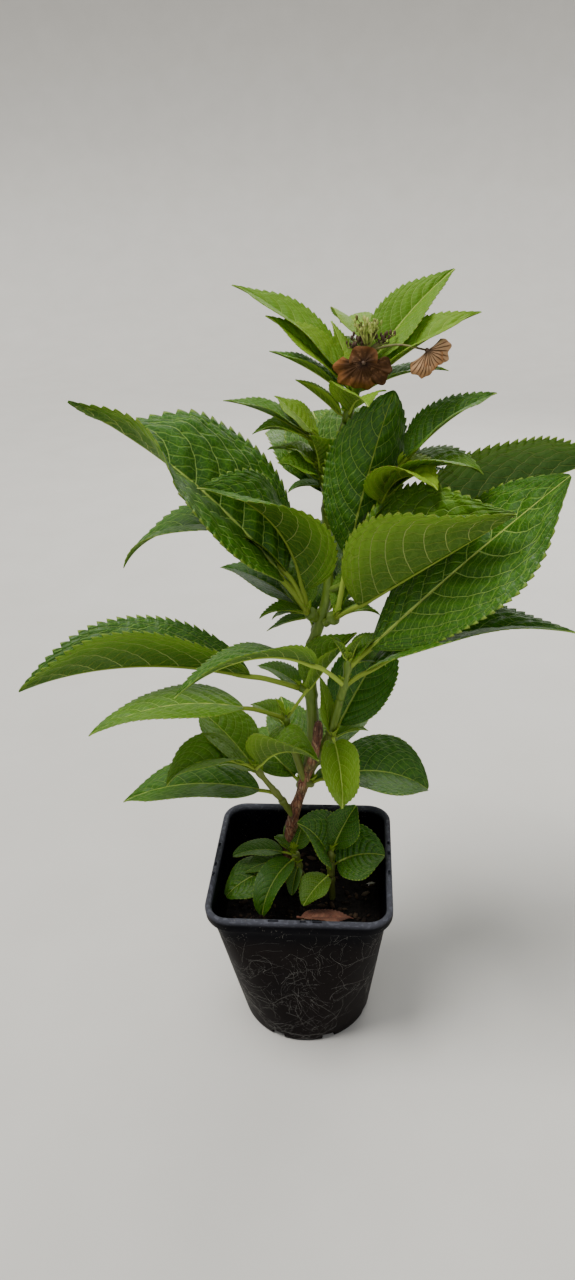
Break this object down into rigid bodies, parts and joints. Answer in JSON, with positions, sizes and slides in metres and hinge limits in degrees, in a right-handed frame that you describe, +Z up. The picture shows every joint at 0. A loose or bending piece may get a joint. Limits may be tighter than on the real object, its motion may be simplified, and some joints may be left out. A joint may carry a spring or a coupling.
{
  "type": "potted hydrangea shrub",
  "caption": "Young bigleaf hydrangea in a square-topped nursery pot: forked leafy stems with large toothed leaves and a dry flower head at the top.",
  "frame": {"origin": "centre of the pot's flat underside", "axes": "+Z up, +X to the picture's right, +Y away from the picture's viewer, square with the sides of the pot"},
  "size_m": [0.482, 0.2973, 0.6608],
  "materials": {
    "black_plastic": "satin black, scuffed",
    "soil": "rough, moist",
    "dry_leaf": "dry, matt",
    "bark": "flaking bark",
    "green_stem": "smooth green stem",
    "foliage": "satin leaf"
  },
  "bodies": {
    "root": {"pot": "black_plastic", "soil": "soil", "fallen_leaf": "dry_leaf", "trunk": "bark", "main_bough": "green_stem", "right_bough": "green_stem", "left_bough": "green_stem", "low_left_bough": "green_stem", "upper_right_bough": "green_stem", "basal_left_stem": "green_stem", "basal_right_stem": "green_stem", "crown_top_leaves": "foliage", "upper_left_leaves": "foliage", "upper_right_leaves": "foliage", "middle_left_leaves": "foliage", "middle_right_leaves": "foliage", "right_leaves": "foliage", "lower_right_leaves": "foliage", "low_right_leaves": "foliage", "left_leaves": "foliage", "left_middle_leaves": "foliage", "low_left_leaves": "foliage", "basal_left_leaves": "foliage", "basal_right_leaves": "foliage", "back_upper_leaves": "foliage", "back_middle_leaves": "foliage", "back_low_leaves": "foliage"}
  },
  "joints": []
}
